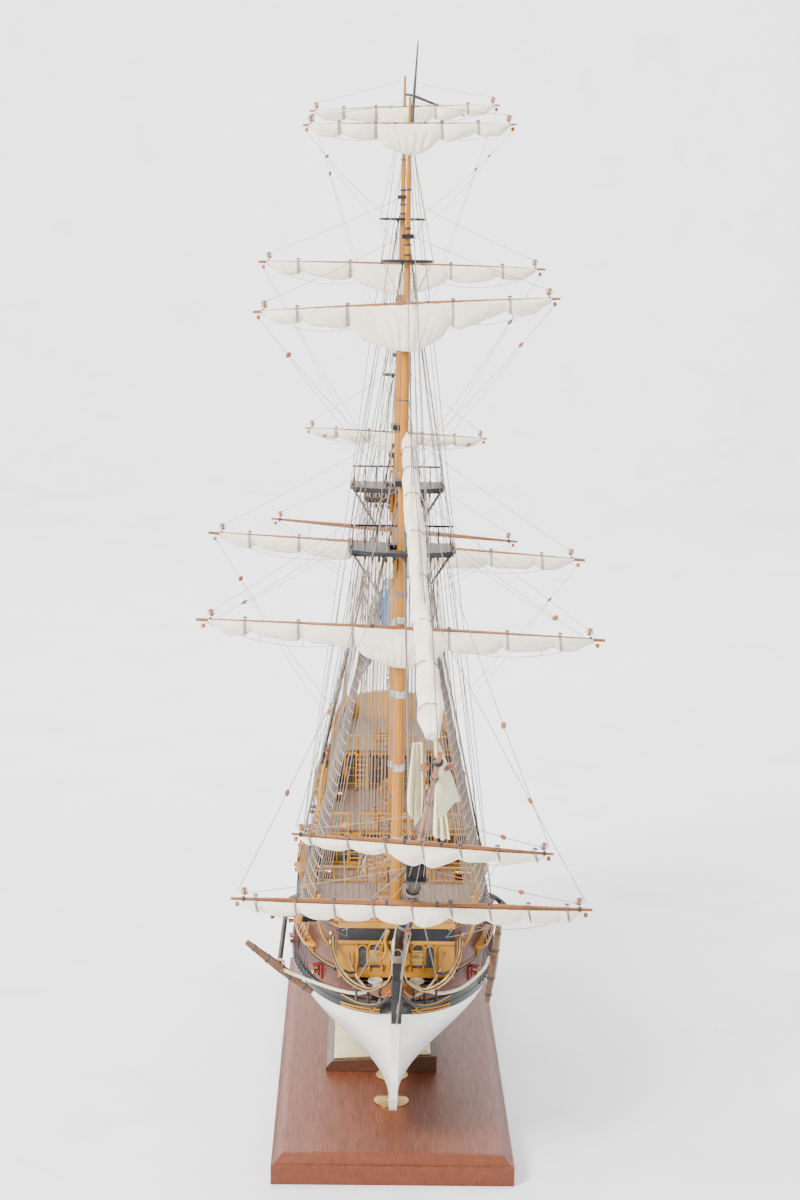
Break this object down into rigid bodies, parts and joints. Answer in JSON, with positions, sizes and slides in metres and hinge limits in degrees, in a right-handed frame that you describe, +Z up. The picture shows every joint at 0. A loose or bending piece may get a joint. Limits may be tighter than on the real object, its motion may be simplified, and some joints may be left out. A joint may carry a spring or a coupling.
{
  "type": "model sailing ship",
  "caption": "Square-rigged sailing ship model with furled sails, swivelling yards and a hung rudder, standing on brass pedestals on a moulded wooden display board.",
  "frame": {"origin": "centre of the display board's underside", "axes": "+Z up, bow towards -Y, starboard towards -X"},
  "size_m": [0.2586, 0.7537, 0.677],
  "materials": {
    "board_wood": "satin varnish",
    "polished_brass": "polished",
    "walnut": "satin",
    "nameplate_brass": "satin",
    "hull_white": "satin paint on wood",
    "wale_black": "satin paint on wood",
    "topside_wood": "satin varnish",
    "ochre_wood": "satin",
    "deck_wood": "matt",
    "mast_wood": "satin varnish",
    "yard_wood": "satin",
    "sail_canvas": "matt cotton",
    "flag_cloth": "matt cotton",
    "anchor_iron": "blackened",
    "hemp_rope": "laid cord"
  },
  "bodies": {
    "hull": {"baseboard": "board_wood", "pedestal_front": "polished_brass", "pedestal_rear": "polished_brass", "nameplate_block": "walnut", "anchor_stock_starboard": "walnut", "anchor_stock_port": "walnut", "nameplate_plate": "nameplate_brass", "keel_and_stem": "hull_white", "lower_hull": "hull_white", "wale_port": "wale_black", "wale_starboard": "wale_black", "bowsprit": "wale_black", "fore_top": "wale_black", "main_top": "wale_black", "mizzen_top": "wale_black", "topside_port": "topside_wood", "topside_starboard": "topside_wood", "transom": "ochre_wood", "beakhead_bulkhead": "ochre_wood", "ships_boat": "ochre_wood", "main_deck": "deck_wood", "forecastle_deck": "deck_wood", "quarter_deck": "deck_wood", "poop_deck": "deck_wood", "fore_lower_mast": "mast_wood", "fore_upper_mast": "mast_wood", "main_lower_mast": "mast_wood", "main_upper_mast": "mast_wood", "mizzen_lower_mast": "mast_wood", "mizzen_upper_mast": "mast_wood", "jibboom": "yard_wood", "jib_roll": "sail_canvas", "anchor_starboard": "anchor_iron", "anchor_port": "anchor_iron", "anchor_cable_starboard": "hemp_rope", "anchor_cable_port": "hemp_rope"},
    "fore_course_spar": {"fore_course_yard": "yard_wood", "fore_course_sail": "sail_canvas"},
    "fore_topsail_spar": {"fore_topsail_yard": "yard_wood", "fore_topsail_sail": "sail_canvas"},
    "fore_topgallant_spar": {"fore_topgallant_yard": "yard_wood", "fore_topgallant_sail": "sail_canvas"},
    "main_course_spar": {"main_course_yard": "yard_wood", "main_course_sail": "sail_canvas"},
    "main_topsail_spar": {"main_topsail_yard": "yard_wood", "main_topsail_sail": "sail_canvas"},
    "main_topgallant_spar": {"main_topgallant_yard": "yard_wood", "main_topgallant_sail": "sail_canvas"},
    "crossjack_spar": {"crossjack_yard": "yard_wood"},
    "mizzen_topsail_spar": {"mizzen_topsail_yard": "yard_wood", "mizzen_topsail_sail": "sail_canvas"},
    "spritsail_spar": {"spritsail_yard": "yard_wood", "spritsail_sail": "sail_canvas"},
    "sprit_topsail_spar": {"sprit_topsail_yard": "yard_wood", "sprit_topsail_sail": "sail_canvas"},
    "gaff": {"mizzen_gaff": "yard_wood", "ensign": "flag_cloth"},
    "rudder": {"rudder": "hull_white"},
    "wheel": {"steering_wheel": "walnut"},
    "capstan": {"capstan": "walnut"}
  },
  "joints": [
    {"name": "fore_course_swivel", "type": "hinge", "parent": "hull", "child": "fore_course_spar", "pos_m": [0, -0.15, 0.3405], "axis": [0, 0, 1], "range_deg": [-8, 8]},
    {"name": "fore_topsail_swivel", "type": "hinge", "parent": "hull", "child": "fore_topsail_spar", "pos_m": [0, -0.158, 0.536], "axis": [0, 0, 1], "range_deg": [-8, 8]},
    {"name": "fore_topgallant_swivel", "type": "hinge", "parent": "hull", "child": "fore_topgallant_spar", "pos_m": [0, -0.158, 0.64], "axis": [0, 0, 1], "range_deg": [-8, 8]},
    {"name": "main_course_swivel", "type": "hinge", "parent": "hull", "child": "main_course_spar", "pos_m": [0, 0.042, 0.362], "axis": [0, 0, 1], "range_deg": [-8, 8]},
    {"name": "main_topsail_swivel", "type": "hinge", "parent": "hull", "child": "main_topsail_spar", "pos_m": [0, 0.034, 0.553], "axis": [0, 0, 1], "range_deg": [-8, 8]},
    {"name": "main_topgallant_swivel", "type": "hinge", "parent": "hull", "child": "main_topgallant_spar", "pos_m": [0, 0.034, 0.656], "axis": [0, 0, 1], "range_deg": [-8, 8]},
    {"name": "crossjack_swivel", "type": "hinge", "parent": "hull", "child": "crossjack_spar", "pos_m": [0, 0.165, 0.355], "axis": [0, 0, 1], "range_deg": [-8, 8]},
    {"name": "mizzen_topsail_swivel", "type": "hinge", "parent": "hull", "child": "mizzen_topsail_spar", "pos_m": [0, 0.157, 0.4275], "axis": [0, 0, 1], "range_deg": [-8, 8]},
    {"name": "spritsail_swivel", "type": "hinge", "parent": "hull", "child": "spritsail_spar", "pos_m": [0.00625, -0.29, 0.2104], "axis": [0, 0, 1], "range_deg": [-8, 8]},
    {"name": "sprit_topsail_swivel", "type": "hinge", "parent": "hull", "child": "sprit_topsail_spar", "pos_m": [0.00947, -0.36, 0.2655], "axis": [0, 0, 1], "range_deg": [-8, 8]},
    {"name": "gaff_swing", "type": "hinge", "parent": "hull", "child": "gaff", "pos_m": [0, 0.165, 0.264], "axis": [0, 0, 1], "range_deg": [-10, 10]},
    {"name": "rudder_swing", "type": "hinge", "parent": "hull", "child": "rudder", "pos_m": [0, 0.22381, 0.08], "axis": [0, 0.1162, 0.9932], "range_deg": [-35, 35]},
    {"name": "wheel_spin", "type": "hinge", "parent": "hull", "child": "wheel", "pos_m": [0, 0.078, 0.176], "axis": [0, 1, 0], "continuous": true},
    {"name": "capstan_spin", "type": "hinge", "parent": "hull", "child": "capstan", "pos_m": [0, 0.112, 0.17], "axis": [0, 0, 1], "continuous": true}
  ]
}
